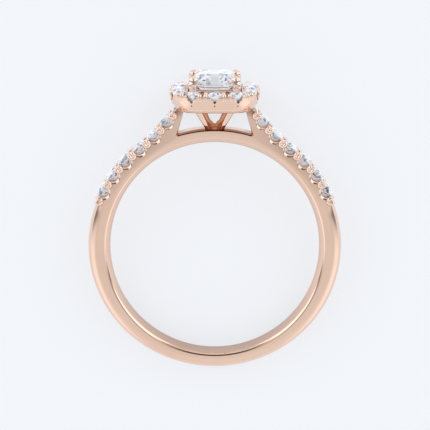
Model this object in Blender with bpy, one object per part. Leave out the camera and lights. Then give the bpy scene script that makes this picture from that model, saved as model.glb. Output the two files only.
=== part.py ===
import math

import bmesh
import bpy
from mathutils import Matrix, Vector

# The ring is drawn standing: X across the hand, Y from front to back, Z from the palm to the head.
# The origin of the drawing is the centre of the finger bore. All sizes are in metres.
MM = 0.001

# Band
BORE_RADIUS = 8.5 * MM
COMFORT_RISE = 0.4 * MM
BAND_WIDTH = 2.3 * MM
SIDE_THICKNESS = 1.81 * MM
PALM_THICKNESS = 1.55 * MM
SHANK_CORNER_DEPTH = 0.7 * MM
SHANK_CORNER_INSET = 0.6 * MM
SHOULDER_CORNER = 0.12 * MM
OUTER_DOME = 0.06 * MM
PLAIN_SHANK_ANGLE = 68.0
ROUNDED_SHANK_ANGLE = 92.0

# Cathedral shoulders and the bridge under the head
SHOULDER_THICKNESS = 1.7 * MM
SWEEP_START_ANGLE = 40.0
SWEEP_END_ANGLE = 16.5
SWEEP_POWER = 2.4
SHOULDER_SWEEP = 1.45 * MM
BRIDGE_THICKNESS = 1.15 * MM
WINDOW_FOOT = 3.02 * MM
WINDOW_TOP = 2.42 * MM

# Halo
GALLERY_HEIGHT = 1.68 * MM
HALO_WALL_HEIGHT = 1.3 * MM
HALO_EDGE_ROUND = 0.12 * MM
HALO_HALF_SIZE = 3.65 * MM
HALO_FOOT_INSET = 0.6 * MM
HALO_WIDTH = 1.29 * MM
HALO_SQUARENESS = 3.2
HALO_SIDE_FLAT = 0.015 * MM
HALO_STONES = 12
HALO_STONE_DIAMETER = 1.15 * MM
HALO_STONE_INSET = 0.65 * MM
HALO_STONE_RISE = 0.2 * MM
HALO_NOTCH_RADIUS = 0.36 * MM
HALO_NOTCH_SINK = 0.18 * MM

# Shoulder stones
SHOULDER_STONES = 6
SHOULDER_STONE_DIAMETER = 1.34 * MM
SHOULDER_STONE_PITCH = 1.56 * MM
END_STONE_SETBACK = 0.09 * MM
SHOULDER_STONE_RISE = 0.02 * MM
END_STONE_DIAMETER = 0.8 * MM
SHOULDER_NOTCH_RADIUS = 0.52 * MM
SHOULDER_NOTCH_SINK = 0.2 * MM

# Beads that hold the small stones
BEAD_RADIUS = 0.17 * MM
BEAD_PAIR_HALF_GAP = 0.15 * MM
BEAD_LENGTH = 0.46 * MM
BEAD_SINK = 0.03 * MM
HALO_BEAD_OFFSET = 0.47 * MM

# Centre stone and its four prongs
CENTRE_HALF_WIDTH = 1.85 * MM
CENTRE_CORNER_CUT = 0.6 * MM
CENTRE_TABLE_HALF = 1.28 * MM
CENTRE_CROWN_HEIGHT = 0.66 * MM
CENTRE_GIRDLE = 0.09 * MM
CENTRE_PAVILION_DEPTH = 1.6 * MM
CENTRE_LIFT = 0.87 * MM
PRONG_RADIUS = 0.33 * MM
PRONG_REACH = 1.8 * MM
RAIL_DROP = 0.27 * MM
RAIL_HEIGHT = 0.36 * MM
RAIL_THICKNESS = 0.3 * MM
HUB_RADIUS = 0.85 * MM
HUB_HEIGHT = 0.4 * MM
HUB_TAPER = 0.75
CLAW_GROWTH = 1.12
CLAW_LEAN = 0.25

# Fit, facet counts and the pose on the table
SETTING_GAP = 0.04 * MM
SOLDER_OVERLAP = 0.12 * MM
BAND_SECTIONS = 80
HALO_SECTIONS = 40
PRONG_SIDES = 8
CLAW_SIDES = 8
CLAW_RINGS = 6
HUB_SIDES = 16
BEAD_SIDES = 6
BEAD_RINGS = 4
SEAT_SIDES = 10
NOTCH_SIDES = 12
BRILLIANT_FOLDS = 8
WINDOW_STEPS = 10
LINE_STEP_ANGLE = 0.1
CUSHION_STEPS = 1440

# Steps of the halo's wall: out from the foot as a share of its inset, up as a share of its height
HALO_WALL_STEPS = ((0.6, 0.3), (0.9, 0.65), (1.0, 1.0))

# The prongs' route: out as a share of the prong reach, up as a share of the rise to the girdle
PRONG_ROUTE = ((0.18, -0.03), (0.32, 0.12), (0.62, 0.40), (0.86, 0.70), (0.97, 0.92), (1.0, 1.0))

# The centre stone's steps: half width as a share of the stone's, height as a share of its part
CENTRE_CROWN_STEP = (0.876, 0.6)
CENTRE_PAVILION_STEPS = ((0.66, 0.4), (0.28, 0.76))

# Shares of a round brilliant's radius
BRILLIANT_TABLE = 0.58
BRILLIANT_STAR = 0.78
BRILLIANT_GIRDLE = 0.06
BRILLIANT_LOWER = 0.24
CROWN_SLOPE = math.tan(math.radians(34.5))
PAVILION_SLOPE = math.tan(math.radians(41.0))

BRIDGE_RADIUS = BORE_RADIUS + BRIDGE_THICKNESS
HALO_FOOT = BRIDGE_RADIUS + GALLERY_HEIGHT
HALO_RIM = HALO_FOOT + HALO_WALL_HEIGHT
HALO_TOP = HALO_RIM + HALO_EDGE_ROUND
HALO_OPENING = HALO_HALF_SIZE - HALO_WIDTH
HALO_STONE_LINE = HALO_HALF_SIZE - HALO_STONE_INSET
CENTRE_GIRDLE_HEIGHT = HALO_RIM + CENTRE_LIFT
CENTRE_TABLE = CENTRE_GIRDLE_HEIGHT + CENTRE_GIRDLE + CENTRE_CROWN_HEIGHT


def clear_scene():
    for item in list(bpy.data.objects):
        bpy.data.objects.remove(item, do_unlink=True)
    for group in list(bpy.data.collections):
        bpy.data.collections.remove(group)


def make_collection(name):
    group = bpy.data.collections.new(name)
    bpy.context.scene.collection.children.link(group)
    return group


def make_material(name, color, roughness, metallic, transmission=0.0, ior=1.45):
    material = bpy.data.materials.new(name)
    material.use_nodes = True
    shader = material.node_tree.nodes["Principled BSDF"]
    shader.inputs["Base Color"].default_value = (*color, 1.0)
    shader.inputs["Roughness"].default_value = roughness
    shader.inputs["Metallic"].default_value = metallic
    shader.inputs["Transmission Weight"].default_value = transmission
    shader.inputs["IOR"].default_value = ior
    material.diffuse_color = (*color, 1.0)
    return material


def mesh_object(name, shape, group, material=None):
    mesh = bpy.data.meshes.new(name)
    shape.to_mesh(mesh)
    shape.free()
    item = bpy.data.objects.new(name, mesh)
    group.objects.link(item)
    if material:
        mesh.materials.append(material)
    return item


def as_helper(item):
    """Cutters and soldered pieces are not nodes of their own."""
    item.hide_render = True
    item.display_type = "WIRE"
    return item


def outer_radius(angle):
    """Radius of the metal at an angle in degrees from the head, the same on both sides."""
    shoulder = BORE_RADIUS + SHOULDER_THICKNESS
    side = BORE_RADIUS + SIDE_THICKNESS
    palm = BORE_RADIUS + PALM_THICKNESS
    if angle >= 90.0:
        share = 0.5 - 0.5 * math.cos(math.radians(2.0 * (angle - 90.0)))
        return side + (palm - side) * share
    if angle >= SWEEP_START_ANGLE:
        share = min((angle - SWEEP_START_ANGLE) / (90.0 - SWEEP_START_ANGLE), 1.0)
        share = share * share * (3.0 - 2.0 * share)
        return shoulder + (side - shoulder) * share
    travel = (SWEEP_START_ANGLE - angle) / (SWEEP_START_ANGLE - SWEEP_END_ANGLE)
    swept = shoulder + SHOULDER_SWEEP * travel ** SWEEP_POWER
    ceiling = (HALO_FOOT + SOLDER_OVERLAP) / math.cos(math.radians(angle))
    return min(swept, ceiling)


def corner_share(angle):
    """0 on the stone-set shoulders, 1 on the rounded shank."""
    share = (angle - PLAIN_SHANK_ANGLE) / (ROUNDED_SHANK_ANGLE - PLAIN_SHANK_ANGLE)
    share = max(0.0, min(1.0, share))
    return share * share * (3.0 - 2.0 * share)


def band_section(angle):
    """Radius and depth of each point round the band's wall, from the bore's front edge."""
    half = BAND_WIDTH / 2
    top = outer_radius(angle)
    blend = corner_share(angle)
    depth = SHOULDER_CORNER + (SHANK_CORNER_DEPTH - SHOULDER_CORNER) * blend
    inset = SHOULDER_CORNER + (SHANK_CORNER_INSET - SHOULDER_CORNER) * blend
    bore = []
    for share in (-1.0, -0.5, 0.0, 0.5, 1.0):
        bore.append((BORE_RADIUS + COMFORT_RISE * share * share, share * half))
    corner = []
    for step in range(4):
        turn = math.radians(30.0 * step)
        rise = depth * (1.0 - math.sin(turn))
        side = half - inset * (1.0 - math.cos(turn))
        corner.append((top - OUTER_DOME * blend - rise, side))
    crest = [(top, 0.0)]
    front = [(radius, -side) for radius, side in reversed(corner)]
    return bore + corner + crest + front


def polar(radius, angle, depth):
    turn = math.radians(angle)
    return Vector((radius * math.sin(turn), depth, radius * math.cos(turn)))


def loft(rings):
    """Skin closed rings of equal count into one closed tube."""
    shape = bmesh.new()
    rows = [[shape.verts.new(point) for point in ring] for ring in rings]
    for index, row in enumerate(rows):
        after = rows[(index + 1) % len(rows)]
        for place in range(len(row)):
            follow = (place + 1) % len(row)
            shape.faces.new((row[place], row[follow], after[follow], after[place]))
    bmesh.ops.recalc_face_normals(shape, faces=shape.faces)
    return shape


def make_band(group, material):
    rings = []
    for step in range(BAND_SECTIONS):
        turn = 360.0 * step / BAND_SECTIONS
        angle = min(turn, 360.0 - turn)
        rings.append([polar(radius, turn, depth) for radius, depth in band_section(angle)])
    return mesh_object("ring_body", loft(rings), group, material)


def make_window_cutter(group):
    """The space between the two shoulders, over the bridge."""
    top = HALO_FOOT + 4 * SOLDER_OVERLAP
    foot_angle = math.degrees(math.asin(WINDOW_FOOT / BRIDGE_RADIUS))
    lean = (WINDOW_FOOT - WINDOW_TOP) / GALLERY_HEIGHT
    corner = polar(BRIDGE_RADIUS, foot_angle, 0.0)
    above = WINDOW_FOOT - lean * (top - corner.z)
    outline = [(-above, top), (above, top)]
    for step in range(WINDOW_STEPS + 1):
        point = polar(BRIDGE_RADIUS, foot_angle * (1.0 - 2.0 * step / WINDOW_STEPS), 0.0)
        outline.append((point.x, point.z))
    shape = bmesh.new()
    verts = [shape.verts.new((x, -BAND_WIDTH, z)) for x, z in outline]
    face = shape.faces.new(verts)
    grown = bmesh.ops.extrude_face_region(shape, geom=[face])
    moved = [item for item in grown["geom"] if isinstance(item, bmesh.types.BMVert)]
    bmesh.ops.translate(shape, verts=moved, vec=(0.0, 2 * BAND_WIDTH, 0.0))
    bmesh.ops.recalc_face_normals(shape, faces=shape.faces)
    return as_helper(mesh_object("window_cutter", shape, group))


def cushion_point(half, turn):
    """A point of the cushion outline at a turn in radians. The middle of each side is flat."""
    share = 2.0 / HALO_SQUARENESS
    flat = half - HALO_SIDE_FLAT
    across = math.cos(turn)
    along = math.sin(turn)
    return Vector((
        math.copysign(min(half * abs(across) ** share, flat), across),
        math.copysign(min(half * abs(along) ** share, flat), along),
        0.0,
    ))


def cushion_stations(half, count, start=0.0):
    """Places at equal distances round the cushion, each with its outward normal."""
    fine = CUSHION_STEPS
    points = [cushion_point(half, 2.0 * math.pi * step / fine) for step in range(fine + 1)]
    travel = [0.0]
    for before, after in zip(points, points[1:]):
        travel.append(travel[-1] + (after - before).length)
    stations = []
    for number in range(count):
        target = travel[-1] * ((number + start) / count % 1.0)
        step = max(place for place in range(fine) if travel[place] <= target)
        share = (target - travel[step]) / (travel[step + 1] - travel[step])
        place = points[step].lerp(points[step + 1], share)
        along = (points[(step + 2) % fine] - points[step - 1]).normalized()
        stations.append((place, Vector((along.y, -along.x, 0.0))))
    return stations


def make_halo(group):
    """The cushion gallery that carries the halo stones."""
    foot = HALO_HALF_SIZE - HALO_FOOT_INSET
    profile = [(HALO_OPENING, HALO_FOOT), (foot, HALO_FOOT)]
    for out, up in HALO_WALL_STEPS:
        profile.append((foot + out * HALO_FOOT_INSET, HALO_FOOT + up * HALO_WALL_HEIGHT))
    lean = math.cos(math.pi / 4) * HALO_EDGE_ROUND
    middle = HALO_HALF_SIZE - HALO_EDGE_ROUND + lean
    profile.append((middle, HALO_RIM + lean))
    profile.append((HALO_HALF_SIZE - HALO_EDGE_ROUND, HALO_TOP))
    profile.append((HALO_OPENING, HALO_TOP))
    rings = []
    stations = cushion_stations(HALO_HALF_SIZE, HALO_SECTIONS, 0.5)
    for place, normal in stations:
        ring = []
        for half, height in profile:
            point = place - normal * (HALO_HALF_SIZE - half)
            ring.append((point.x, point.y, height))
        rings.append(ring)
    return as_helper(mesh_object("halo_gallery", loft(rings), group))


def prong_route(sign_x, sign_y):
    """From the hub, out under the stone's corner, and up beside it to the claw."""
    rise = CENTRE_GIRDLE_HEIGHT - BRIDGE_RADIUS
    points = []
    for out, up in PRONG_ROUTE:
        points.append(Vector((
            sign_x * out * PRONG_REACH,
            sign_y * out * PRONG_REACH,
            BRIDGE_RADIUS + up * rise,
        )))
    tip = CENTRE_TABLE - PRONG_RADIUS
    points.append(Vector((sign_x * PRONG_REACH, sign_y * PRONG_REACH, tip)))
    return points


def make_prong(name, sign_x, sign_y, group):
    curve = bpy.data.curves.new(name, "CURVE")
    curve.dimensions = "3D"
    curve.bevel_depth = PRONG_RADIUS
    curve.bevel_resolution = PRONG_SIDES // 4
    curve.use_fill_caps = True
    route = prong_route(sign_x, sign_y)
    spline = curve.splines.new("POLY")
    spline.points.add(len(route) - 1)
    for point, place in zip(spline.points, route):
        point.co = (*place, 1.0)
    drawn = bpy.data.objects.new(name + "_curve", curve)
    group.objects.link(drawn)
    bpy.context.view_layer.update()
    graph = bpy.context.evaluated_depsgraph_get()
    mesh = bpy.data.meshes.new_from_object(drawn.evaluated_get(graph))
    bpy.data.objects.remove(drawn, do_unlink=True)
    shape = bmesh.new()
    shape.from_mesh(mesh)
    bmesh.ops.remove_doubles(shape, verts=shape.verts, dist=0.001 * MM)
    bmesh.ops.recalc_face_normals(shape, faces=shape.faces)
    return as_helper(mesh_object(name, shape, group))


def make_claw(name, sign_x, sign_y, group):
    """The rounded end of a prong, which leans over the stone's corner."""
    shape = bmesh.new()
    radius = CLAW_GROWTH * PRONG_RADIUS
    bmesh.ops.create_uvsphere(shape, u_segments=CLAW_SIDES, v_segments=CLAW_RINGS, radius=radius)
    reach = PRONG_REACH - CLAW_LEAN * PRONG_RADIUS
    place = Vector((sign_x * reach, sign_y * reach, CENTRE_TABLE - PRONG_RADIUS))
    bmesh.ops.translate(shape, verts=shape.verts, vec=place)
    return as_helper(mesh_object(name, shape, group))


def make_rail(group):
    """The square frame that ties the prongs together under the stone."""
    top = CENTRE_GIRDLE_HEIGHT - RAIL_DROP
    reach = PRONG_REACH + RAIL_THICKNESS / 2
    profile = (
        (reach - RAIL_THICKNESS, top - RAIL_HEIGHT),
        (reach, top - RAIL_HEIGHT),
        (reach, top),
        (reach - RAIL_THICKNESS, top),
    )
    rings = []
    for sign_x, sign_y in ((1, 1), (-1, 1), (-1, -1), (1, -1)):
        rings.append([Vector((sign_x * half, sign_y * half, height)) for half, height in profile])
    return as_helper(mesh_object("basket_rail", loft(rings), group))


def make_hub(group):
    """The foot of the basket, standing on the bridge."""
    shape = bmesh.new()
    bmesh.ops.create_cone(
        shape,
        cap_ends=True,
        segments=HUB_SIDES,
        radius1=HUB_RADIUS,
        radius2=HUB_TAPER * HUB_RADIUS,
        depth=HUB_HEIGHT + 2 * SOLDER_OVERLAP,
    )
    centre = BRIDGE_RADIUS + (HUB_HEIGHT - 2 * SOLDER_OVERLAP) / 2
    bmesh.ops.translate(shape, verts=shape.verts, vec=(0.0, 0.0, centre))
    return as_helper(mesh_object("basket_hub", shape, group))


def brilliant_shape(diameter):
    """A round brilliant: table, star, kite, girdle and pavilion facets, its girdle at zero."""
    radius = diameter / 2
    girdle = BRILLIANT_GIRDLE * radius
    fold = 2.0 * math.pi / BRILLIANT_FOLDS
    between = math.cos(fold / 2)
    table = girdle + (1.0 - BRILLIANT_TABLE) * radius * CROWN_SLOPE
    star = girdle + (1.0 - BRILLIANT_STAR * between) * radius * CROWN_SLOPE
    lower = -(1.0 - BRILLIANT_LOWER * between) * radius * PAVILION_SLOPE
    shape = bmesh.new()
    shape.verts.new((0.0, 0.0, -radius * PAVILION_SLOPE))
    for number in range(BRILLIANT_FOLDS):
        turn = number * fold
        rows = (
            (BRILLIANT_TABLE, turn, table),
            (BRILLIANT_STAR, turn + fold / 2, star),
            (1.0, turn, girdle),
            (1.0, turn + fold / 2, girdle),
            (1.0, turn, 0.0),
            (1.0, turn + fold / 2, 0.0),
            (BRILLIANT_LOWER, turn + fold / 2, lower),
        )
        for share, heading, height in rows:
            reach = share * radius
            shape.verts.new((reach * math.cos(heading), reach * math.sin(heading), height))
    bmesh.ops.convex_hull(shape, input=shape.verts)
    bmesh.ops.recalc_face_normals(shape, faces=shape.faces)
    return shape


def seat_shape(diameter):
    """A plain double cone that clears a brilliant all round by the setting gap."""
    girdle = BRILLIANT_GIRDLE * diameter / 2 + SETTING_GAP
    radius = (diameter / 2 + SETTING_GAP) / math.cos(math.pi / SEAT_SIDES)
    table = BRILLIANT_TABLE * radius
    shape = bmesh.new()
    shape.verts.new((0.0, 0.0, -radius * PAVILION_SLOPE))
    for number in range(SEAT_SIDES):
        turn = 2.0 * math.pi * (number + 0.5) / SEAT_SIDES
        for reach, height in (
            (table, girdle + (radius - table) * CROWN_SLOPE),
            (radius, girdle),
            (radius, 0.0),
        ):
            shape.verts.new((reach * math.cos(turn), reach * math.sin(turn), height))
    bmesh.ops.convex_hull(shape, input=shape.verts)
    bmesh.ops.recalc_face_normals(shape, faces=shape.faces)
    return shape


def cut_square(half, cut):
    """The eight corners of a square with cut corners."""
    straight = half - cut
    corners = []
    for quarter in range(4):
        turn = Matrix.Rotation(quarter * math.pi / 2, 3, "Z")
        corners.append(turn @ Vector((half, -straight, 0.0)))
        corners.append(turn @ Vector((half, straight, 0.0)))
    return corners


def centre_shape(grow=0.0):
    """A square stone with cut corners: table, stepped crown, girdle and keeled pavilion."""
    girdle = CENTRE_GIRDLE + grow
    share, rise = CENTRE_CROWN_STEP
    levels = [
        (CENTRE_TABLE_HALF, girdle + CENTRE_CROWN_HEIGHT),
        (share * CENTRE_HALF_WIDTH, girdle + rise * CENTRE_CROWN_HEIGHT),
        (CENTRE_HALF_WIDTH, girdle),
        (CENTRE_HALF_WIDTH, -grow),
    ]
    for share, drop in CENTRE_PAVILION_STEPS:
        levels.append((share * CENTRE_HALF_WIDTH, -drop * CENTRE_PAVILION_DEPTH - grow))
    shape = bmesh.new()
    for half, height in levels:
        cut = CENTRE_CORNER_CUT * half / CENTRE_HALF_WIDTH
        for corner in cut_square(half + grow, cut):
            shape.verts.new((corner.x, corner.y, height))
    shape.verts.new((0.0, 0.0, -CENTRE_PAVILION_DEPTH - grow))
    bmesh.ops.convex_hull(shape, input=shape.verts)
    bmesh.ops.recalc_face_normals(shape, faces=shape.faces)
    return shape


def shoulder_line():
    """Points of the shoulder's top line, from the plain shank up to the halo's foot."""
    points = []
    angle = ROUNDED_SHANK_ANGLE
    place = polar(outer_radius(angle), angle, 0.0)
    while place.z < HALO_FOOT:
        points.append(place)
        angle -= LINE_STEP_ANGLE
        place = polar(outer_radius(angle), angle, 0.0)
    return points


def station_on(points, distance):
    """The place and outward normal at a distance along the shoulder's top line."""
    travel = 0.0
    for before, after in zip(points, points[1:]):
        step = (after - before).length
        if travel + step >= distance:
            along = (after - before) / step
            normal = Vector((along.z, 0.0, -along.x))
            return before + along * (distance - travel), normal, along
        travel += step
    along = (points[-1] - points[-2]).normalized()
    normal = Vector((along.z, 0.0, -along.x))
    return points[-1] + along * (distance - travel), normal, along


def shoulder_distances(line):
    """Distance along the line, and diameter, of each shoulder stone, counted down from the halo."""
    length = sum((after - before).length for before, after in zip(line, line[1:]))
    last = length - END_STONE_SETBACK
    gap = SHOULDER_STONE_PITCH - SHOULDER_STONE_DIAMETER
    top = last - (SHOULDER_STONE_DIAMETER + END_STONE_DIAMETER + gap) / 2
    places = []
    for number in range(SHOULDER_STONES):
        below = SHOULDER_STONES - 1 - number
        places.append((top - below * SHOULDER_STONE_PITCH, SHOULDER_STONE_DIAMETER))
    places.append((last, END_STONE_DIAMETER))
    return places


def frame_matrix(place, normal, along):
    """Local Z along the normal, local X along the line."""
    across = normal.cross(along)
    matrix = Matrix((along, across, normal)).transposed().to_4x4()
    matrix.translation = place
    return matrix


def mirrored(matrix, side):
    """The same place on the other shoulder, by a half turn about Z."""
    if side > 0:
        return matrix
    return Matrix.Rotation(math.pi, 4, "Z") @ matrix


def bead_shape():
    shape = bmesh.new()
    bmesh.ops.create_uvsphere(shape, u_segments=BEAD_SIDES, v_segments=BEAD_RINGS, radius=BEAD_RADIUS)
    bmesh.ops.scale(shape, verts=shape.verts, vec=(1.0, 1.0, BEAD_LENGTH / (2 * BEAD_RADIUS)))
    return shape


def groove_shape(radius, start, end):
    """A round groove cutter along local X, with a flat at its lowest place."""
    roll = Matrix.Rotation(math.pi / 2, 4, "Y") @ Matrix.Rotation(math.pi / NOTCH_SIDES, 4, "Z")
    shape = bmesh.new()
    bmesh.ops.create_cone(
        shape,
        cap_ends=True,
        segments=NOTCH_SIDES,
        radius1=radius,
        radius2=radius,
        depth=end - start,
        matrix=Matrix.Translation(((start + end) / 2, 0.0, 0.0)) @ roll,
    )
    return shape


def notch_shape():
    """A groove across the band's whole width, under a shoulder stone."""
    shape = groove_shape(SHOULDER_NOTCH_RADIUS, -BAND_WIDTH, BAND_WIDTH)
    bmesh.ops.rotate(shape, verts=shape.verts, matrix=Matrix.Rotation(math.pi / 2, 3, "Z"))
    return shape


def halo_notch_shape():
    """A groove through the halo's wall, from near the stone's middle outwards."""
    return groove_shape(HALO_NOTCH_RADIUS, HALO_NOTCH_RADIUS / 3, 2 * HALO_STONE_DIAMETER)


def place_object(name, shape, matrix, group, material=None):
    item = mesh_object(name, shape, group, material)
    item.matrix_world = matrix
    return item


def boolean(item, name, group, operation):
    """Combine the item with a whole collection. Triangles first, so every face is flat."""
    item.modifiers.new("triangles for " + name, "TRIANGULATE")
    modifier = item.modifiers.new(name, "BOOLEAN")
    modifier.operand_type = "COLLECTION"
    modifier.collection = group
    modifier.operation = operation
    modifier.solver = "EXACT"


def make_shoulder_stones(stones, cutters, solder, material):
    line = shoulder_line()
    places = shoulder_distances(line)
    for side, side_name in ((1, "right"), (-1, "left")):
        for number, (distance, diameter) in enumerate(places, start=1):
            place, normal, along = station_on(line, distance)
            lifted = place + normal * SHOULDER_STONE_RISE
            matrix = mirrored(frame_matrix(lifted, normal, along), side)
            name = f"shoulder_stone_{side_name}_{number}"
            place_object(name, brilliant_shape(diameter), matrix, stones, material)
            as_helper(place_object(name + "_seat", seat_shape(diameter), matrix, cutters))
            if number > SHOULDER_STONES:
                continue
            sunk = place - normal * SHOULDER_NOTCH_SINK
            matrix = mirrored(frame_matrix(sunk, normal, along), side)
            as_helper(place_object(name + "_notch", notch_shape(), matrix, cutters))
        for number in range(SHOULDER_STONES + 1):
            middle = places[0][0] + (number - 0.5) * SHOULDER_STONE_PITCH
            for pair, shift in enumerate((-BEAD_PAIR_HALF_GAP, BEAD_PAIR_HALF_GAP)):
                place, normal, along = station_on(line, middle + shift)
                for row in (-1, 1):
                    spot = place - normal * BEAD_SINK
                    spot.y = row * (BAND_WIDTH / 2 - BEAD_RADIUS)
                    matrix = mirrored(frame_matrix(spot, normal, along), side)
                    label = f"{side_name}_bead_{number}_{row}_{pair}"
                    as_helper(place_object(label, bead_shape(), matrix, solder))


def make_halo_stones(stones, cutters, solder, material):
    rise = HALO_TOP + HALO_STONE_RISE
    for number, (place, normal) in enumerate(cushion_stations(HALO_STONE_LINE, HALO_STONES), start=1):
        along = Vector((-normal.y, normal.x, 0.0))
        matrix = Matrix((normal, along, Vector((0.0, 0.0, 1.0)))).transposed().to_4x4()
        matrix.translation = Vector((place.x, place.y, rise))
        name = f"halo_stone_{number:02d}"
        place_object(name, brilliant_shape(HALO_STONE_DIAMETER), matrix, stones, material)
        seat = seat_shape(HALO_STONE_DIAMETER)
        as_helper(place_object(name + "_seat", seat, matrix, cutters))
        lowered = matrix.copy()
        lowered.translation.z = HALO_TOP - HALO_NOTCH_SINK
        as_helper(place_object(name + "_notch", halo_notch_shape(), lowered, cutters))
    outer = HALO_STONE_LINE + HALO_BEAD_OFFSET
    inner = HALO_STONE_LINE - HALO_BEAD_OFFSET
    rows = (("outer", outer, (-BEAD_PAIR_HALF_GAP, BEAD_PAIR_HALF_GAP)), ("inner", inner, (0.0,)))
    for row, half, shifts in rows:
        stations = cushion_stations(half, HALO_STONES, 0.5)
        for number, (place, normal) in enumerate(stations, start=1):
            along = Vector((-normal.y, normal.x, 0.0))
            for pair, shift in enumerate(shifts):
                spot = place + along * shift
                spot.z = HALO_TOP - BEAD_SINK
                label = f"halo_bead_{row}_{number}_{pair}"
                as_helper(place_object(label, bead_shape(), Matrix.Translation(spot), solder))


def make_centre(stones, cutters, solder, material):
    matrix = Matrix.Translation((0.0, 0.0, CENTRE_GIRDLE_HEIGHT))
    place_object("centre_stone", centre_shape(), matrix, stones, material)
    as_helper(place_object("centre_seat", centre_shape(SETTING_GAP), matrix, cutters))
    for sign_x in (-1, 1):
        for sign_y in (-1, 1):
            name = f"prong_{sign_x}_{sign_y}"
            make_prong(name, sign_x, sign_y, solder)
            make_claw(name + "_claw", sign_x, sign_y, solder)
    make_rail(solder)
    make_hub(solder)


def lay_on_side(groups):
    """Lay the standing drawing on its back, on the halo's rim and the palm's edge."""
    halo_reach = HALO_HALF_SIZE - HALO_SIDE_FLAT
    palm_edge = outer_radius(180.0) - SHANK_CORNER_DEPTH
    tilt = math.atan2(halo_reach - BAND_WIDTH / 2, HALO_RIM + palm_edge)
    pose = bpy.data.objects.new("ring_pose", None)
    bpy.context.scene.collection.objects.link(pose)
    turn = Matrix.Rotation(tilt - math.pi / 2, 4, "X")
    rim = turn @ Vector((0.0, halo_reach, HALO_RIM))
    head = turn @ Vector((0.0, 0.0, CENTRE_TABLE))
    palm = turn @ Vector((0.0, 0.0, -outer_radius(180.0)))
    pose.matrix_world = Matrix.Translation((0.0, -(head.y + palm.y) / 2, -rim.z)) @ turn
    for group in groups:
        for item in group.objects:
            item.parent = pose
    bpy.context.view_layer.update()


def build():
    clear_scene()
    ring = make_collection("diamond_engagement_ring")
    cutters = make_collection("ring_cutters")
    openings = make_collection("ring_openings")
    solder = make_collection("ring_soldered_pieces")
    gold = make_material("rose_gold", (0.73, 0.47, 0.36), 0.12, 1.0)
    diamond = make_material("diamond", (0.97, 0.98, 1.0), 0.0, 0.0, 1.0, 2.417)
    body = make_band(ring, gold)
    make_window_cutter(openings)
    make_halo(solder)
    make_centre(ring, cutters, solder, diamond)
    make_halo_stones(ring, cutters, solder, diamond)
    make_shoulder_stones(ring, cutters, solder, diamond)
    boolean(body, "open the gallery", openings, "DIFFERENCE")
    boolean(body, "solder the head", solder, "UNION")
    boolean(body, "cut the seats", cutters, "DIFFERENCE")
    lay_on_side((ring, cutters, openings, solder))


build()
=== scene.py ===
import math

import bpy
from mathutils import Matrix, Vector


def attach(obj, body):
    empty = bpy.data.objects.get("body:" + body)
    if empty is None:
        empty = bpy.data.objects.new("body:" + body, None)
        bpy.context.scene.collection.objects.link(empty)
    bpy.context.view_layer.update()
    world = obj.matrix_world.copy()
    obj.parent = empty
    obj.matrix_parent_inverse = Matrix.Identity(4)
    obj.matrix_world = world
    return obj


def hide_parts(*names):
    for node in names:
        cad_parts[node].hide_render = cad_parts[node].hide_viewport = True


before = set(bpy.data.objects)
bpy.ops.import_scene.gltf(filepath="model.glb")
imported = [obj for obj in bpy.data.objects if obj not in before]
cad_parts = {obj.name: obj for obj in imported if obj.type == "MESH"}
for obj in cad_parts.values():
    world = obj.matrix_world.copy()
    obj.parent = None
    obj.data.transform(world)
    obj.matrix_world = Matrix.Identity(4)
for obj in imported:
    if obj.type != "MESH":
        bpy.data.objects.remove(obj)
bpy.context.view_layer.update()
print("frame loaded with", len(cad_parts), "nodes")


# where the ring lies
# Every piece is drawn standing and in millimetres: X across the hand, Y from front to back, Z from palm to head.
# The centre of the finger hole is the origin. Then the piece is laid on its back, as the CAD lies.
ringPose = {
    "haloReach": 3.635,  # half of the halo at its rim, which touches the floor
    "haloRim": 12.63,
    "palmEdge": 9.35,  # how far below the centre the shank touches the floor
    "halfWidth": 1.15,
    "table": 14.25,
    "palm": 10.05,
    "unit": 0.001,  # metres in a millimetre
}
tiny = 0.0001  # what is closer than this is at the same place


def standingToLying():
    lean = math.atan2(ringPose["haloReach"] - ringPose["halfWidth"], ringPose["haloRim"] + ringPose["palmEdge"])
    turn = Matrix.Rotation(lean - math.pi / 2, 4, "X")
    rim = turn @ Vector((0, ringPose["haloReach"], ringPose["haloRim"]))
    head = turn @ Vector((0, 0, ringPose["table"]))
    palm = turn @ Vector((0, 0, -ringPose["palm"]))
    move = Matrix.Translation((0, -(head.y + palm.y) / 2, -rim.z))
    return Matrix.Scale(ringPose["unit"], 4) @ move @ turn


lying = standingToLying()
ringUp = (lying.to_3x3() @ Vector((0, 0, 1))).normalized()


# small helpers for working by hand
def pickOnly(*pieces):
    if bpy.context.object and bpy.context.object.mode != "OBJECT":
        bpy.ops.object.mode_set(mode="OBJECT")
    bpy.ops.object.select_all(action="DESELECT")
    for piece in pieces:
        piece.select_set(True)
    bpy.context.view_layer.objects.active = pieces[0]


def startPiece(name):
    piece = bpy.context.object
    piece.name = name
    piece.data.name = name
    return piece


def faceOutwards(piece):
    pickOnly(piece)
    bpy.ops.object.mode_set(mode="EDIT")
    bpy.ops.mesh.select_all(action="SELECT")
    bpy.ops.mesh.normals_make_consistent(inside=False)
    bpy.ops.object.mode_set(mode="OBJECT")


def joinPieces(pieces, name):
    pickOnly(*pieces)
    bpy.ops.object.join()
    return startPiece(name)


def copyPiece(piece, matrix, name):
    twin = piece.copy()
    twin.data = piece.data.copy()
    twin.name = name
    bpy.context.collection.objects.link(twin)
    twin.matrix_world = matrix
    return twin


# put the piece at the matrix, if one is given, and apply its place to its mesh
def applyPlace(piece, matrix=None):
    if matrix is not None:
        piece.matrix_world = matrix
    pickOnly(piece)
    bpy.ops.object.transform_apply(location=True, rotation=True, scale=True)
    return piece


def removePieces(*pieces):
    for piece in pieces:
        bpy.data.objects.remove(piece, do_unlink=True)


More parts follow.
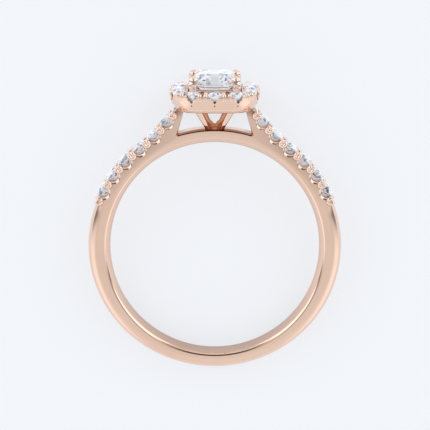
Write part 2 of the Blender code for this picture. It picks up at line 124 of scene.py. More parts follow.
# one piece made of copies of another, which is used up
def repeatPiece(piece, matrices, name):
    copies = [copyPiece(piece, matrix, name) for matrix in matrices]
    removePieces(piece)
    return joinPieces(copies, name)


def cutWith(piece, cutter):
    pickOnly(piece)
    modifier = piece.modifiers.new("cut", "BOOLEAN")
    modifier.object = cutter
    modifier.operation = "DIFFERENCE"
    modifier.solver = "EXACT"
    if cutter.data.materials:
        modifier.material_mode = "TRANSFER"
    bpy.ops.object.modifier_apply(modifier=modifier.name)
    removePieces(cutter)


# draw the piece's face out through the stations, each a centre and a half width
def drawThrough(piece, stations):
    bpy.ops.object.mode_set(mode="EDIT")
    bpy.ops.mesh.select_mode(type="FACE")
    bpy.ops.mesh.select_all(action="SELECT")
    for (centre, size), (nextCentre, nextSize) in zip(stations, stations[1:]):
        move = [after - before for before, after in zip(centre, nextCentre)]
        bpy.ops.mesh.extrude_region_move(TRANSFORM_OT_translate={"value": move})
        ratio = nextSize / size
        bpy.ops.transform.resize(value=(ratio, ratio, 1), center_override=nextCentre)
    bpy.ops.object.mode_set(mode="OBJECT")
    faceOutwards(piece)
    return piece


# steps are height and radius, from the foot up; the ends are closed
def turnedShape(name, steps, sides):
    height, radius = steps[0]
    bpy.ops.mesh.primitive_circle_add(vertices=sides, radius=radius, fill_type="NGON", location=(0, 0, height))
    piece = applyPlace(startPiece(name))
    return drawThrough(piece, [((0, 0, height), radius) for height, radius in steps])


# angles in even steps from the first to the last, given in degrees
def turns(first, last, count):
    return [math.radians(first + (last - first) * step / count) for step in range(count + 1)]


# points of a rounded edge after its first point
def blendLine(first, corner, last, count):
    points = []
    for step in range(1, count + 1):
        share = step / count
        points.append(first.lerp(corner, share).lerp(corner.lerp(last, share), share))
    return points


# a torus whose vertices are moved to the rings, one ring for each of its sections
def shapeTube(name, rings):
    across = len(rings[0])
    bpy.ops.mesh.primitive_torus_add(major_segments=len(rings), minor_segments=across, major_radius=9, minor_radius=1)
    piece = startPiece(name)
    for vertex in piece.data.vertices:
        section, place = divmod(vertex.index, across)
        vertex.co = rings[section][place]
    faceOutwards(piece)
    return piece


# band
band = {
    "bore": 8.5,
    "comfort": 0.4,  # how much wider the bore would be at the faces
    "shoulder": 1.7,  # thickness at the shoulders, the sides and the palm
    "side": 1.81,
    "palm": 1.55,
    "innerEdge": 0.17,
    "faceLean": (0.085, 54, 72),  # how far the shoulder's face leans back, and the angles where that ends
    "leanEase": 0.15,
    "shoulderEdge": 0.12,
    "shankCorner": (0.7, 0.6),  # how deep and how wide the plain shank's corners are rounded
    "dome": 0.06,
    "plainFrom": (60, 74),  # angles from the head where the shoulders turn into the plain shank
    "sweep": (40, 16.5, 2.4, 1.45),  # angles where the rise to the halo begins and ends, its power and height
    "ceiling": 11.45,
    "sections": 256,
    "smoothAngle": 14,
    "boreShadeLayer": (0.45, 0.82),  # how thick the layer with the bore's painted shade is, and how squarely it faces inwards
}


# 0 at the first value, 1 at the last, and smooth between them
def smoothShare(value, first, last):
    share = max(0.0, min(1.0, (value - first) / (last - first)))
    return share * share * (3 - 2 * share)


def outerRadius(angle):
    shoulder = band["bore"] + band["shoulder"]
    side = band["bore"] + band["side"]
    palm = band["bore"] + band["palm"]
    start, end, power, rise = band["sweep"]
    if angle >= 90:
        share = 0.5 - 0.5 * math.cos(math.radians(2 * (angle - 90)))
        return side + (palm - side) * share
    if angle >= start:
        return shoulder + (side - shoulder) * smoothShare(angle, start, 90)
    swept = shoulder + rise * ((start - angle) / (start - end)) ** power
    return min(swept, band["ceiling"] / math.cos(math.radians(angle)))


# radius and depth round the band's wall, from the bore's front edge
def bandSection(angle):
    boreSteps, edgeSteps, wallSteps, cornerSteps, faceSteps = 10, 5, 4, 8, 4
    half = ringPose["halfWidth"]
    edge = band["innerEdge"]
    top = outerRadius(angle)
    plain = smoothShare(angle, *band["plainFrom"])
    deep, wide = [band["shoulderEdge"] + (size - band["shoulderEdge"]) * plain for size in band["shankCorner"]]
    dome = band["dome"] * plain
    reach = half - edge
    bore = []
    for step in range(boreSteps + 1):
        depth = reach * (2 * step / boreSteps - 1)
        bore.append(Vector((band["bore"] + band["comfort"] * (depth / half) ** 2, depth)))
    slope = 2 * band["comfort"] * reach / half ** 2
    corner = Vector((bore[-1].x + slope * edge, half))
    foot = Vector((corner.x + edge, half))
    side = blendLine(bore[-1], corner, foot, edgeSteps)
    shelf = top - dome - deep
    for step in range(1, wallSteps):
        side.append(Vector((foot.x + (shelf - foot.x) * step / wallSteps, half)))
    for turn in turns(0, 90, cornerSteps):
        side.append(Vector((shelf + deep * math.sin(turn), half - wide * (1 - math.cos(turn)))))
    for step in range(1, faceSteps):
        share = 1 - step / faceSteps
        side.append(Vector((top - dome * share * share, (half - wide) * share)))
    lean, start, end = band["faceLean"]
    lean *= 1 - smoothShare(angle, start, end)
    for point in side:
        out = max(0.0, (point.x - foot.x) / (top - foot.x))
        point.y -= lean * out * out / (out + band["leanEase"])
    front = [Vector((point.x, -point.y)) for point in reversed(side)]
    return bore + side + [Vector((top, 0))] + front


def polar(radius, angle, depth=0.0):
    turn = math.radians(angle)
    return Vector((radius * math.sin(turn), depth, radius * math.cos(turn)))


def makeBand():
    rings = []
    for step in range(band["sections"]):
        turn = 360 * step / band["sections"]
        section = bandSection(min(turn, 360 - turn))
        rings.append([polar(point.x, turn, point.y) for point in section])
    return shapeTube("band", rings)


# the opening under the halo
gallery = {
    "bridge": 9.65,
    "foot": 3.02,  # half width at the bridge, and at the halo's foot
    "head": 2.42,
    "over": 12.2,  # how far up the cutter goes
    "corner": 0.25,
    "chamfer": (0.038, 0.12),  # depth from front to back, and width
    "overrun": 1.2,  # the chamfer goes on to this many times its size, to come out of the wall
    "mitre": 0.6,  # keeps the chamfer from growing too far at a sharp corner
    "clear": 1.0,  # how far the cutter goes on outside the band
    "shadedStrip": 1.0,
    "splay": 0.1,  # how much further out its sides are at the front and the back than in the middle
    "splayAt": 2.75,  # the half width where the splay is measured
}


# the walls that it leaves get painted shade near the front: a darker copy of the gold on the front strip
def makeGalleryCutter(polished, shadedFinish):
    cornerSteps, archSteps = 6, 24
    bridge = gallery["bridge"]
    footAngle = math.degrees(math.asin(gallery["foot"] / bridge))
    corner = polar(bridge, footAngle)
    lean = (gallery["foot"] - gallery["head"]) / (halo["foot"] - corner.z)
    up = Vector((gallery["foot"] - lean * (gallery["over"] - corner.z), 0, gallery["over"]))
    start = corner + (up - corner).normalized() * gallery["corner"]
    archAngle = footAngle - math.degrees(gallery["corner"] / bridge)
    edge = [up, start] + blendLine(start, corner, polar(bridge, archAngle), cornerSteps)
    arch = [polar(bridge, archAngle * (1 - 2 * step / archSteps)) for step in range(1, archSteps)]
    outline = edge + arch + [Vector((-point.x, 0, point.z)) for point in reversed(edge)]
    splay = 1 + gallery["splay"] / gallery["splayAt"]
    ends = [Vector((place.x * splay, 0, place.z)) for place in outline]
    width = ringPose["halfWidth"]
    rim, wider = gallery["chamfer"]
    bpy.ops.mesh.primitive_circle_add(vertices=len(outline), radius=1, fill_type="NGON")
    piece = startPiece("galleryCutter")
    for vertex, place in zip(piece.data.vertices, ends):
        vertex.co = (place.x, -(width - rim), place.z)
    pickOnly(piece)
    bpy.ops.object.mode_set(mode="EDIT")
    bpy.ops.mesh.select_mode(type="FACE")
    bpy.ops.mesh.select_all(action="SELECT")
    strip = gallery["shadedStrip"]
    for length, spread in ((strip, 1 / splay), (2 * (width - rim - strip), 1), (strip, splay)):
        bpy.ops.mesh.extrude_region_move(TRANSFORM_OT_translate={"value": (0, length, 0)})
        bpy.ops.transform.resize(value=(spread, 1, 1), center_override=(0, 0, 0))
    bpy.ops.object.mode_set(mode="OBJECT")
    moves = list(zip(ends, grownOutline(ends, gallery["overrun"] * wider)))
    for side in (1, -1):
        flareEnd(piece, side, gallery["overrun"] * rim, moves)
        flareEnd(piece, side, gallery["clear"], [])
    faceOutwards(piece)
    piece.data.materials.append(shadedFinish)
    piece.data.materials.append(polished)
    for polygon in piece.data.polygons:
        if polygon.center.y > strip + rim - width:
            polygon.material_index = 1
    return piece


# the same outline, further out all round
def grownOutline(outline, out):
    grown = []
    for number, place in enumerate(outline):
        before = (place - outline[number - 1]).normalized()
        after = (outline[(number + 1) % len(outline)] - place).normalized()
        along = (before + after).normalized()
        stretch = max(gallery["mitre"], along.dot(after))
        grown.append(place + Vector((-along.z, 0, along.x)) * (out / stretch))
    return grown


# lengthen the cutter at its front or back by one step; the moves then widen that end
def flareEnd(piece, side, out, moves):
    vertices = piece.data.vertices
    reach = max(vertex.co.y * side for vertex in vertices)
    for polygon in piece.data.polygons:
        polygon.select = all(vertices[index].co.y * side > reach - tiny for index in polygon.vertices)
    pickOnly(piece)
    bpy.ops.object.mode_set(mode="EDIT")
    bpy.ops.mesh.extrude_region_move(TRANSFORM_OT_translate={"value": (0, side * out, 0)})
    bpy.ops.mesh.select_all(action="DESELECT")
    bpy.ops.object.mode_set(mode="OBJECT")
    for vertex in piece.data.vertices:
        if moves and vertex.co.y * side > reach + out / 2:
            flat = Vector((vertex.co.x, 0, vertex.co.z))
            target = min(moves, key=lambda move: (move[0] - flat).length)[1]
            vertex.co.x, vertex.co.z = target.x, target.z


# rows of small stones
smallStones = {
    "shoulderCount": 6,
    "shoulderSize": 1.34,
    "pitch": 1.56,
    "rise": 0.02,  # how far the girdle stands above the metal
    "endSize": 0.8,  # the small stone beside the halo
    "endSetback": 0.09,
    "cupRadius": 0.43,
    "cupSink": 0.11,
    "cupLip": 0.2,
    "cupInset": 0.04,
    "cupSides": 40,
    "seatGap": 0.03,
    "seatTip": 0.002,
    "seatOver": 0.5,
    "seatSides": 32,
    "backSlope": 41,
    "girdleShare": 0.06,
    "lineStep": 0.1,  # in degrees
}


def shoulderLine():
    points = []
    angle = band["plainFrom"][1]
    place = polar(outerRadius(angle), angle)
    while place.z < halo["foot"]:
        points.append(place)
        angle -= smallStones["lineStep"]
        place = polar(outerRadius(angle), angle)
    return points


# the place, the normal and the direction at a distance along the line
def stationOn(points, distance):
    travel = 0.0
    for before, after in zip(points, points[1:]):
        step = (after - before).length
        if travel + step >= distance:
            break
        travel += step
    along = (after - before).normalized()
    return before + along * (distance - travel), Vector((along.z, 0, -along.x)), along


def stoneDistances(line):
    length = sum((after - before).length for before, after in zip(line, line[1:]))
    last = length - smallStones["endSetback"]
    between = smallStones["pitch"] - smallStones["shoulderSize"]
    top = last - (smallStones["shoulderSize"] + smallStones["endSize"] + between) / 2
    count = smallStones["shoulderCount"]
    return [top - (count - 1 - number) * smallStones["pitch"] for number in range(count)] + [last]


# local Z along the normal, local X along the line
def localFrame(place, normal, along):
    matrix = Matrix((along, normal.cross(along), normal)).transposed().to_4x4()
    matrix.translation = place
    return matrix


# side 1 keeps the place and side -1 turns it to the other shoulder
def onSide(side, matrix):
    return matrix if side > 0 else Matrix.Rotation(math.pi, 4, "Z") @ matrix


# a round cutter along local Z that flares at its outer end, or at both, so that it leaves a rounded rim
def spool(name, radius, lip, outer, inner=None):
    past, clear = 0.01, 1.0  # how far the lip and the cutter go on outside the metal
    steps = [(outer - lip + lip * math.sin(turn), radius + lip * (1 - math.cos(turn))) for turn in turns(0, 90, 8)]
    steps[-1] = (steps[-1][0] + past, steps[-1][1])
    steps.append((outer + clear, radius + lip))
    if inner is None:
        low = [(-height, width) for height, width in reversed(steps)]
    else:
        low = [(inner, radius)]
    return turnedShape(name, low + steps, smallStones["cupSides"])


# the room for a round stone with its gap, open above
def seatCutter(name, size):
    gap = smallStones["seatGap"]
    radius = size / 2 + gap
    top = smallStones["girdleShare"] * size / 2 + gap
    steps = (
        (-radius * math.tan(math.radians(smallStones["backSlope"])), smallStones["seatTip"]),
        (0, radius), (top, radius), (top + smallStones["seatOver"], radius),
    )
    return turnedShape(name, steps, smallStones["seatSides"])


def makeShoulderCutters():
    outer = ringPose["halfWidth"] - smallStones["cupInset"]
    cup = spool("cup", smallStones["cupRadius"], smallStones["cupLip"], outer)
    applyPlace(cup, Matrix.Rotation(math.pi / 2, 4, "X"))
    seat = seatCutter("seat", smallStones["shoulderSize"])
    endSeat = seatCutter("endSeat", smallStones["endSize"])
    cups = []
    seats = []
    for side in (1, -1):
        for number, distance in enumerate(distances):
            place, normal, along = stationOn(line, distance)
            full = number < smallStones["shoulderCount"]
            rise = localFrame(place + normal * smallStones["rise"], normal, along)
            seats.append(copyPiece(seat if full else endSeat, onSide(side, rise), "seat"))
            if full:
                sink = localFrame(place - normal * smallStones["cupSink"], normal, along)
                cups.append(copyPiece(cup, onSide(side, sink), "cup"))
    removePieces(cup, seat, endSeat)
    return joinPieces(cups, "cups"), joinPieces(seats, "seats")


# prongs between the shoulder stones
pairProngs = {
    "radius": 0.18,
    "halfGap": 0.185,
    "top": 0.17,
    "foot": 0.2,
    "proud": 0.24,  # how far they stand out of the band's face
    "sides": 20,
    "saddle": (0.26, 0.15, 0.18, 0.31),  # half width, half depth, half height, and how far down it sits
    "voxel": 0.026,
    "softening": 6,
}


# two pegs joined by a saddle, melted into one soft form
def makePairShape():
    radius = pairProngs["radius"]
    low = pairProngs["top"] - radius
    steps = [(-pairProngs["foot"] - radius * math.sin(turn), radius * math.cos(turn)) for turn in turns(80, 0, 4)]
    steps += [(low + radius * math.sin(turn), radius * math.cos(turn)) for turn in turns(0, 80, 5)]
    parts = []
    for shift in (-pairProngs["halfGap"], pairProngs["halfGap"]):
        peg = turnedShape("peg", steps, pairProngs["sides"])
        parts.append(applyPlace(peg, Matrix.Translation((shift, 0, 0))))
    wide, deep, high, down = pairProngs["saddle"]
    bpy.ops.mesh.primitive_uv_sphere_add(segments=24, ring_count=16, radius=1)
    saddle = startPiece("saddle")
    saddle.scale = (wide, deep, high)
    saddle.location = (0, 0, -down)
    parts.append(applyPlace(saddle))
    pair = joinPieces(parts, "prongPair")
    remesh = pair.modifiers.new("melt", "REMESH")
    remesh.mode = "VOXEL"
    remesh.voxel_size = pairProngs["voxel"]
    bpy.ops.object.modifier_apply(modifier=remesh.name)
    smooth = pair.modifiers.new("soften", "SMOOTH")
    smooth.iterations = pairProngs["softening"]
    bpy.ops.object.modifier_apply(modifier=smooth.name)
    return pair


def makePairProngs():
    matrices = []
    for side in (1, -1):
        for number in range(smallStones["shoulderCount"] + 1):
            place, normal, along = stationOn(line, distances[0] + (number - 0.5) * smallStones["pitch"])
            for row in (-1, 1):
                spot = place.copy()
                spot.y = row * (ringPose["halfWidth"] - pairProngs["radius"] + pairProngs["proud"])
                matrices.append(onSide(side, localFrame(spot, normal, along)))
    return applyPlace(repeatPiece(makePairShape(), matrices, "shoulderProngs"))


# halo
halo = {
    "half": 3.65,
    "flat": 0.015,  # how much is taken off each side, so that the ring rests on a flat
    "footInset": 0.6,
    "width": 1.44,
    "squareness": 3.2,
    "foot": 11.33,
    "footEdge": 0.05,
    "bulge": 2.3,
    "rim": 12.63,
    "edge": (0.14, 0.05),  # width and height of the rounded edge
    "top": 12.75,
    "sections": 200,
    "stones": 12,
    "stoneInset": 0.65,
    "stoneRise": 0.06,
    "stoneSteps": (
        (-0.5, 0.14), (-0.36, 0.38), (-0.16, 0.54), (0.0, 0.575), (0.03, 0.575), (0.12, 0.48), (0.2, 0.34),
    ),  # height and radius, from the back's point to the table
    "stoneSides": 16,
    "seatOver": 0.6,
    "cupRadius": 0.38,
    "cupLip": 0.06,
    "notch": (0.14, 0.58),  # half width, and how far down its middle is
    "dot": (0.06, 0.76),
    "drill": (0.1, 0.2, 1.2),  # how far out the notches and the dots begin, and where both end
    "beadRadius": 0.19,
    "beadFoot": 0.4,
    "beadDome": 1.2,
    "beadSides": 18,
    "beadOffset": 0.49,
    "beadGap": 0.22,
}


def cushionPoint(half, turn):
    def reach(value):
        return math.copysign(min(half * abs(value) ** (2 / halo["squareness"]), half - halo["flat"]), value)

    return Vector((reach(math.cos(turn)), reach(math.sin(turn)), 0))


# places at equal distances round the cushion, each with its outward normal
def cushionStations(half, count, start=0.0):
    fine = 1440
    near = 8  # how many points away the normal is taken from
    points = [cushionPoint(half, 2 * math.pi * step / fine) for step in range(fine + 1)]
    travel = [0.0]
    for before, after in zip(points, points[1:]):
        travel.append(travel[-1] + (after - before).length)
    stations = []
    step = 0
    for number in range(count):
        target = travel[-1] * ((number + start) / count % 1)
        while travel[step + 1] <= target:
            step += 1
        share = (target - travel[step]) / (travel[step + 1] - travel[step])
        place = points[step].lerp(points[step + 1], share)
        along = (points[(step + near) % fine] - points[(step + 1 - near) % fine]).normalized()
        stations.append((place, Vector((along.y, -along.x, 0))))
    return stations


# half size and height round the gallery's wall, from its inner foot outwards
def haloProfile():
    outer, foot, top = halo["half"], halo["foot"], halo["top"]
    inner = outer - halo["width"]
    start = outer - halo["footInset"]
    wide, high = halo["edge"]
    wallSteps, edgeSteps, flatSteps = 14, 5, 4
    points = [(inner, foot), (inner + (start - inner) / 2, foot), (start - halo["footEdge"], foot)]
    for step in range(1, wallSteps + 1):
        up = step / wallSteps
        out = start + halo["footInset"] * (1 - (1 - up) ** halo["bulge"])
        points.append((out, foot + up * (halo["rim"] - foot)))
    for turn in turns(0, 90, edgeSteps):
        points.append((outer - wide * (1 - math.cos(turn)), top - high + high * math.sin(turn)))
    for step in range(1, flatSteps + 1):
        points.append((outer - wide + (inner - outer + wide) * (step / flatSteps), top))
    for step in range(1, flatSteps):
        points.append((inner, top + (foot - top) * step / flatSteps))
    return points


def makeGallery():
    rings = []
    for place, normal in cushionStations(halo["half"], halo["sections"], 0.5):
        ring = [place - normal * (halo["half"] - half) + Vector((0, 0, height)) for half, height in haloProfile()]
        rings.append(ring)
    return shapeTube("haloGallery", rings)


# places on the line of the stones, or outside or inside it by the shift. A start of 0.5 is between the stones
def haloFrames(height, shift=0.0, start=0.0):
    up = Vector((0, 0, 1))
    stations = cushionStations(halo["half"] - halo["stoneInset"] + shift, halo["stones"], start)
    return [localFrame(place + up * height, up, normal) for place, normal in stations]


# the cups, the notches, the dots and the seats, which follow the stones' fuller backs
def makeHaloCutters():
    notchFrom, dotFrom, end = halo["drill"]
    wide, notchDown = halo["notch"]
    size, dotDown = halo["dot"]
    cup = spool("haloCup", halo["cupRadius"], halo["cupLip"], halo["stoneInset"], 0)
    notch = turnedShape("notch", [(notchFrom, wide), (end, wide)], sides=4)
    dot = turnedShape("dot", [(dotFrom, size), (end, size)], sides=10)
    for piece, rise in ((cup, 0), (notch, wide - notchDown), (dot, -dotDown)):
        applyPlace(piece, Matrix.Translation((0, 0, rise)) @ Matrix.Rotation(math.pi / 2, 4, "Y"))
    gap = smallStones["seatGap"]
    steps = [(height - gap, radius + gap) for height, radius in halo["stoneSteps"] if height <= 0]
    steps.append((halo["seatOver"], steps[-1][1]))
    seat = turnedShape("haloSeat", steps, smallStones["seatSides"])
    low = haloFrames(halo["top"])
    high = haloFrames(halo["top"] + halo["stoneRise"])
    sets = ((cup, low), (notch, low), (dot, low), (seat, high))
    return [repeatPiece(piece, matrices, "haloCutters") for piece, matrices in sets]


# round stones with a table, a faceted crown and a faceted back. Each replaces the node that it is nearest to
def makeHaloStones():
    stone = turnedShape("haloDiamond", halo["stoneSteps"], halo["stoneSides"])
    nodes = {}
    for name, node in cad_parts.items():
        if "halo_stone" in name:
            nodes[name] = sum((node.matrix_world @ Vector(corner) for corner in node.bound_box), Vector()) / 8
    stones = []
    for matrix in haloFrames(halo["top"] + halo["stoneRise"]):
        place = lying @ matrix.translation
        name = min(nodes, key=lambda key: (nodes[key] - place).length)
        twin = copyPiece(stone, lying @ matrix, "haloDiamond" + name[-2:])
        applyPlace(twin)
        twin.data.name = twin.name
        stones.append((twin, name))
    removePieces(stone)
    return stones


def makeHaloBeads():
    radius = halo["beadRadius"]
    steps = [(-halo["beadFoot"], radius), (0.0, radius)]
    steps += [(radius * math.sin(turn) * halo["beadDome"], radius * math.cos(turn)) for turn in turns(0, 85, 5)[1:]]
    matrices = []
    for matrix in haloFrames(halo["top"], halo["beadOffset"], 0.5):
        for shift in (-halo["beadGap"], halo["beadGap"]):
            matrices.append(matrix @ Matrix.Translation((0, shift, 0)))
    matrices += haloFrames(halo["top"], -halo["beadOffset"], 0.5)
    return applyPlace(repeatPiece(turnedShape("bead", steps, halo["beadSides"]), matrices, "haloBeads"))


# basket under the centre stone
basket = {
    "reach": 1.8,
    "halfBar": 0.26,
    "halfPost": 0.34,
    "postFrom": (0.4, 0.9),  # how far up a bar begins to thicken and has thickened
    "squareness": 5,
    "sides": 40,
    "footTaper": (0.1, 0.32),  # how much thinner the foot is, and up to where
    "route": (
        (0.30, -0.05), (0.375, 0.05), (0.48, 0.156), (0.685, 0.35), (0.81, 0.5), (0.91, 0.7), (0.985, 0.92),
        (1.0, 1.0),
    ),  # how far out, as a share of the reach, and how far up from the bridge to the girdle
    "webs": (
        (0.17, 0.17, -0.05), (0.17, 0.17, 0.05), (0.235, 0.15, 0.11), (0.335, 0.125, 0.156), (0.543, 0.133, 0.35),
        (0.71, 0.14, 0.5), (0.83, 0.15, 0.7),
    ),  # middle and half width as shares of the reach, and how far up
    "claw": 0.39,
    "clawLean": 0.08,
    "clawDrop": 0.47,  # how far under the table a claw is widest
    "clawRoll": 0.02,
    "roundFrom": 0.55,  # how far under its widest place a claw begins to be round
    "railTop": 13.13,
    "railHeight": 0.3,
    "railThick": 0.3,
    "railDip": 0.1,
    "railEdge": 0.025,
    "railSteps": 24,
    "insideTop": 12.8,
    "insideFacing": 0.15,
    "hub": ((9.5, 0.85), (9.66, 0.77), (9.76, 0.62), (9.88, 0.42), (9.98, 0.22), (10.03, 0.08)),
}


def basketHeight(up):
    return gallery["bridge"] + up * (centreStone["girdleHeight"] - gallery["bridge"])


# one square bar, rounded at its edges, that ends in a round claw
# its stations give from the foot up how far out the middle is, how high, and the half width
def makeProng(signX, signY):
    clawSteps, domeSteps = 5, 7
    girdle = centreStone["girdleHeight"]
    reach, bar, post, claw = [basket[size] for size in ("reach", "halfBar", "halfPost", "claw")]
    thinner, taperTop = basket["footTaper"]
    stations = []
    for out, up in basket["route"]:
        half = bar + (post - bar) * smoothShare(up, *basket["postFrom"])
        half -= thinner * (1 - smoothShare(up, 0, taperTop))
        stations.append((out * reach, basketHeight(up), half))
    tip = ringPose["table"] - basket["clawDrop"]
    for step in range(1, clawSteps + 1):
        share = smoothShare(step, 0, clawSteps)
        height = girdle + (tip - girdle) * step / clawSteps
        stations.append((reach - basket["clawLean"] * share, height, post + (claw - post) * share))
    lean = reach - basket["clawLean"]
    for step in range(1, domeSteps + 1):
        turn = math.radians(12 * step)
        out = lean - basket["clawRoll"] * step / domeSteps
        stations.append((out, tip + claw * math.sin(turn), claw * math.cos(turn)))
    piece = drawBar(stations, signX, signY)
    roundClaw(piece, signX * lean, signY * lean, tip)
    return piece


def drawBar(stations, signX, signY):
    out, height, half = stations[0]
    bpy.ops.mesh.primitive_circle_add(vertices=basket["sides"], radius=half, fill_type="NGON")
    piece = startPiece("prong")
    power = basket["squareness"]
    for vertex in piece.data.vertices:
        across, along = abs(vertex.co.x / half), abs(vertex.co.y / half)
        vertex.co *= (across ** power + along ** power) ** (-1 / power)
        vertex.co += Vector((signX * out, signY * out, height))
    return drawThrough(piece, [((signX * out, signY * out, height), half) for out, height, half in stations])


# turn the square bar into a round one on its way up to the claw's tip
def roundClaw(piece, acrossX, acrossY, tip):
    for vertex in piece.data.vertices:
        share = smoothShare(vertex.co.z, tip - basket["roundFrom"], tip)
        place = Vector((vertex.co.x - acrossX, vertex.co.y - acrossY))
        if share <= 0 or place.length < tiny:
            continue
        squareReach = max(abs(place.x), abs(place.y))
        ratio = 1 + (squareReach / place.length - 1) * share
        vertex.co.x = acrossX + place.x * ratio
        vertex.co.y = acrossY + place.y * ratio


# the bars and the rail are polished and get the paler copy of the gold, which is painted light; the webs behind the
# bars and the hub between them are rougher and get a darker copy, which is painted shade
def makeBasket(polished, shadedFinish):
    corners = [(signX, signY) for signX in (-1, 1) for signY in (-1, 1)]
    bright = [makeProng(*corner) for corner in corners] + [makeRail()]
    reach = basket["reach"]
    webs = [(out * reach, basketHeight(up), half * reach) for out, half, up in basket["webs"]]
    shadedPieces = [drawBar(webs, *corner) for corner in corners]
    shadedPieces.append(turnedShape("hub", basket["hub"], basket["sides"]))
    for pieces, finish in ((bright, polished), (shadedPieces, shadedFinish)):
        for piece in pieces:
            piece.data.materials.append(finish)
    return joinPieces(bright + shadedPieces, "basket")


# the square frame that ties the prongs together. It dips a little in the middle of each side
def makeRail():
    outer = basket["reach"] + basket["railThick"] / 2
    inner = outer - basket["railThick"]
    edge = basket["railEdge"]
    high = basket["railTop"]
    low = high - basket["railHeight"]
    profile = []
    for half, height, start in ((inner, low, 180), (outer, low, 270), (outer, high, 0), (inner, high, 90)):
        across = half + edge if half == inner else half - edge
        up = height + edge if height == low else height - edge
        for turn in turns(start, start + 90, 3):
            profile.append((across + edge * math.cos(turn), up + edge * math.sin(turn)))
    rings = []
    for side in range(4):
        turn = Matrix.Rotation(side * math.pi / 2, 3, "Z")
        for step in range(basket["railSteps"]):
            along = 2 * step / basket["railSteps"] - 1
            dip = basket["railDip"] * (1 - along * along)
            rings.append([turn @ Vector((half, along * half, height - dip)) for half, height in profile])
    return shapeTube("rail", rings)


# centre stone
centreStone = {
    "half": 1.85,
    "cut": 0.6,  # how much is cut off the corners
    "crown": 0.66,
    "girdle": 0.09,
    "girdleHeight": 13.5,
    "pavilion": 1.6,
    "spare": 0.4,  # what the block has below the stone
}


# cut the block in edit mode with a plane through a point at the reach and height, and close the cut
# the plane is turned about the stone's axis, and a slope over 0 is on the crown
def cutFacet(turn, slope, reach, height):
    angle = math.radians(abs(slope))
    up = math.cos(angle) if slope > 0 else -math.cos(angle)
    normal = Vector((math.cos(turn) * math.sin(angle), math.sin(turn) * math.sin(angle), up))
    distance = normal.dot(Vector((math.cos(turn) * reach, math.sin(turn) * reach, height)))
    normal.normalize()
    bpy.ops.mesh.select_all(action="SELECT")
    bpy.ops.mesh.bisect(
        plane_co=normal * distance, plane_no=normal, use_fill=True, clear_outer=True, threshold=0.000001,
    )


def makeCentreStone():
    half = centreStone["half"]
    corner = (half + half - centreStone["cut"]) / math.sqrt(2)
    girdle = centreStone["girdle"]
    top = girdle + centreStone["crown"]
    bottom = centreStone["pavilion"] + centreStone["spare"]
    # each facet's turn from the side in degrees, slope, reach and height
    # the crown has two steps on the sides and on the corners, and small facets beside the corners
    crown = (
        (0, 53, half, girdle), (0, 31, 1.62, 0.484), (45, 50, corner, girdle), (45, 34, 1.888, 0.45),
        (-33, 47, 1.97, 0.25), (33, 47, 1.97, 0.25),
    )
    # the pavilion has steep steps at the girdle, then the fans that meet at the culet
    pavilion = (
        (0, -58, half, 0), (0, -41, 1.62, -0.37), (45, -55, corner, 0), (45, -39, corner - 0.22, -0.32),
        (-14, -44, 1.72, -0.12), (14, -44, 1.72, -0.12), (-31, -47, 1.72, -0.12), (31, -47, 1.72, -0.12),
    )
    bpy.ops.mesh.primitive_cube_add(size=1)
    piece = startPiece("centreDiamond")
    piece.scale = (2 * half, 2 * half, top + bottom)
    piece.location = (0, 0, (top - bottom) / 2)
    applyPlace(piece)
    bpy.ops.object.mode_set(mode="EDIT")
    for facets in ([(45, 90, corner, 0)], crown, pavilion):
        for quarter in range(4):
            for turn, slope, reach, height in facets:
                cutFacet(quarter * math.pi / 2 + math.radians(turn), slope, reach, height)
    bpy.ops.object.mode_set(mode="OBJECT")
    applyPlace(piece, Matrix.Translation((0, 0, centreStone["girdleHeight"])))
    faceOutwards(piece)
    return piece


# finishes
goldFinish = {
    "patches": (220, 3),  # scale and detail of the faint patches of colour
    "patchSpan": (0.3, 0.6),
    "haze": (2600, 4),  # the same for the fine haze that polishing leaves
    "bump": (0.012, 0.00002),  # strength and height
    # painted shade: the colour that the crevices darken to, how far ambient occlusion looks for them, and with how
    # many samples
    "paintedCreviceShadeColor": (0.40, 0.20, 0.12, 1),
    "paintedShadeReach": 0.0009,
    "paintedShadeSamples": 8,
}
# one look for each copy of the metal: the plain polished gold, a paler copy that is painted light on the raised
# parts, and darker copies that are painted shade. The crevice span gives the openness where its painted shade ends
# and begins, and the bore's fade heights those between which its painted shade fades until it is as bright as the
# rest
goldLooks = {
    "polishedRoseGold": {
        "color": (0.9, 0.655, 0.53, 1), "deepColor": (0.87, 0.615, 0.485, 1), "edge": (1, 1, 1, 1),
        "roughness": (0.07, 0.13), "paintedCreviceShade": (0.3, 0.85),
    },
    # a paler copy of the gold with lighter crevices: painted light on the prong pairs, the beads and the basket's
    # bars
    "litRaisedRoseGold": {
        "color": (0.91, 0.72, 0.61, 1), "deepColor": (0.88, 0.675, 0.565, 1), "edge": (1, 1, 1, 1),
        "roughness": (0.07, 0.13), "paintedCreviceShade": (0.05, 0.52),
    },
    # a darker, rougher copy of the gold: painted shade on the basket's webs and hub and on its low faces that turn
    # inwards
    "shadedInnerRoseGold": {
        "color": (0.76, 0.38, 0.22, 1), "deepColor": (0.70, 0.34, 0.19, 1), "edge": (1, 1, 1, 1),
        "roughness": (0.36, 0.5), "paintedCreviceShade": (0.0, 0.2),
    },
    # a darker copy of the gold with a dimmer edge: painted shade in the bore, which fades out higher up
    "shadedBoreRoseGold": {
        "color": (0.62, 0.45, 0.37, 1), "deepColor": (0.59, 0.425, 0.345, 1), "edge": (0.80, 0.75, 0.71, 1),
        "roughness": (0.1, 0.16), "paintedCreviceShade": (0.3, 0.85), "shadeFadeHeights": (-8.2, -3.0),
    },
    # a dark copy of the gold with a dim edge: painted shade on the gallery's walls near the front
    "shadedWallRoseGold": {
        "color": (0.55, 0.25, 0.13, 1), "deepColor": (0.51, 0.225, 0.12, 1), "edge": (0.66, 0.40, 0.27, 1),
        "roughness": (0.07, 0.13), "paintedCreviceShade": (0.3, 0.85),
    },
}
